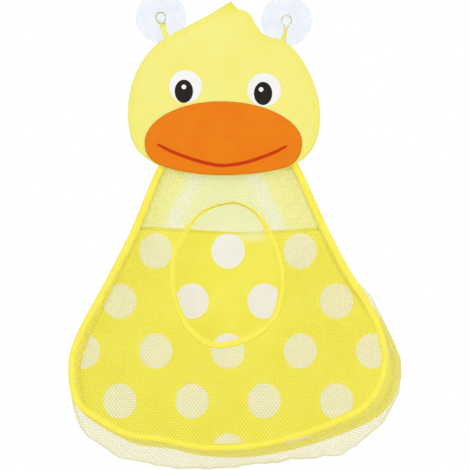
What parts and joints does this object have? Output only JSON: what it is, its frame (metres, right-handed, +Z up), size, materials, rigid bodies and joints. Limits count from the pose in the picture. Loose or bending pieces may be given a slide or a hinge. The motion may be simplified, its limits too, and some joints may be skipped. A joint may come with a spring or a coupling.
{
  "type": "bath toy organizer",
  "caption": "Duck-shaped wall bag for bath toys: a flat padded head on suction cups carries a bound mesh pouch with an oval mouth.",
  "frame": {"origin": "on the wall, midway between the axes of the two suction cups", "axes": "+X to the right across the front, +Y into the wall, +Z up"},
  "size_m": [0.2949, 0.087, 0.4271],
  "materials": {
    "clear_pvc": "clear, soft and glossy",
    "yellow_tape": "woven tape",
    "yellow_satin": "smooth printed satin",
    "foam_sheet": "thin padding",
    "orange_print": "printed satin",
    "red_print": "printed satin",
    "white_print": "printed satin",
    "black_print": "printed satin",
    "yellow_mesh": "open knitted mesh",
    "spring_wire": "drawn wire",
    "sheer_yoke": "sheer plain weave",
    "yellow_panel": "plain weave with white dots"
  },
  "bodies": {
    "head": {"head_front_panel": "yellow_satin", "head_back_panel": "yellow_satin", "head_padding": "foam_sheet", "beak": "orange_print", "smile": "red_print", "eye_white_left": "white_print", "eye_white_right": "white_print", "pupil_left": "black_print", "pupil_right": "black_print", "glint_left": "white_print", "glint_right": "white_print"},
    "loop_left": {"hanging_loop_left": "yellow_tape"},
    "loop_right": {"hanging_loop_right": "yellow_tape"},
    "cup_left": {"suction_cup_left": "clear_pvc"},
    "cup_right": {"suction_cup_right": "clear_pvc"},
    "bag": {"back_yoke": "sheer_yoke", "back_panel": "yellow_panel", "back_binding": "yellow_tape", "back_hoop": "spring_wire", "gusset": "yellow_mesh"},
    "front": {"front_mesh": "yellow_mesh", "mouth_binding": "yellow_tape", "front_binding": "yellow_tape", "front_hoop": "spring_wire"}
  },
  "joints": [
    {"name": "loop_left_fold", "type": "hinge", "parent": "head", "child": "loop_left", "pos_m": [-0.05117, -0.0146, -0.01512], "axis": [0.8071, 0, 0.5904], "range_deg": [-50, 90]},
    {"name": "loop_right_fold", "type": "hinge", "parent": "head", "child": "loop_right", "pos_m": [0.05277, -0.0146, -0.01792], "axis": [0.969, 0, -0.2469], "range_deg": [-50, 90]},
    {"name": "cup_left_spin", "type": "hinge", "parent": "loop_left", "child": "cup_left", "pos_m": [-0.0565, -0.0146, 0.00135], "axis": [0, 1, 0], "continuous": true},
    {"name": "cup_right_spin", "type": "hinge", "parent": "loop_right", "child": "cup_right", "pos_m": [0.0565, -0.0146, -0.00135], "axis": [0, 1, 0], "continuous": true},
    {"name": "bag_lift", "type": "hinge", "parent": "head", "child": "bag", "pos_m": [0, -0.0166, -0.1409], "axis": [-1, 0, 0], "range_deg": [0, 60]},
    {"name": "front_flatten", "type": "hinge", "parent": "bag", "child": "front", "pos_m": [0, -0.00735, -0.1255], "axis": [1, 0, 0], "range_deg": [0, 16], "deforming": ["gusset"]}
  ]
}
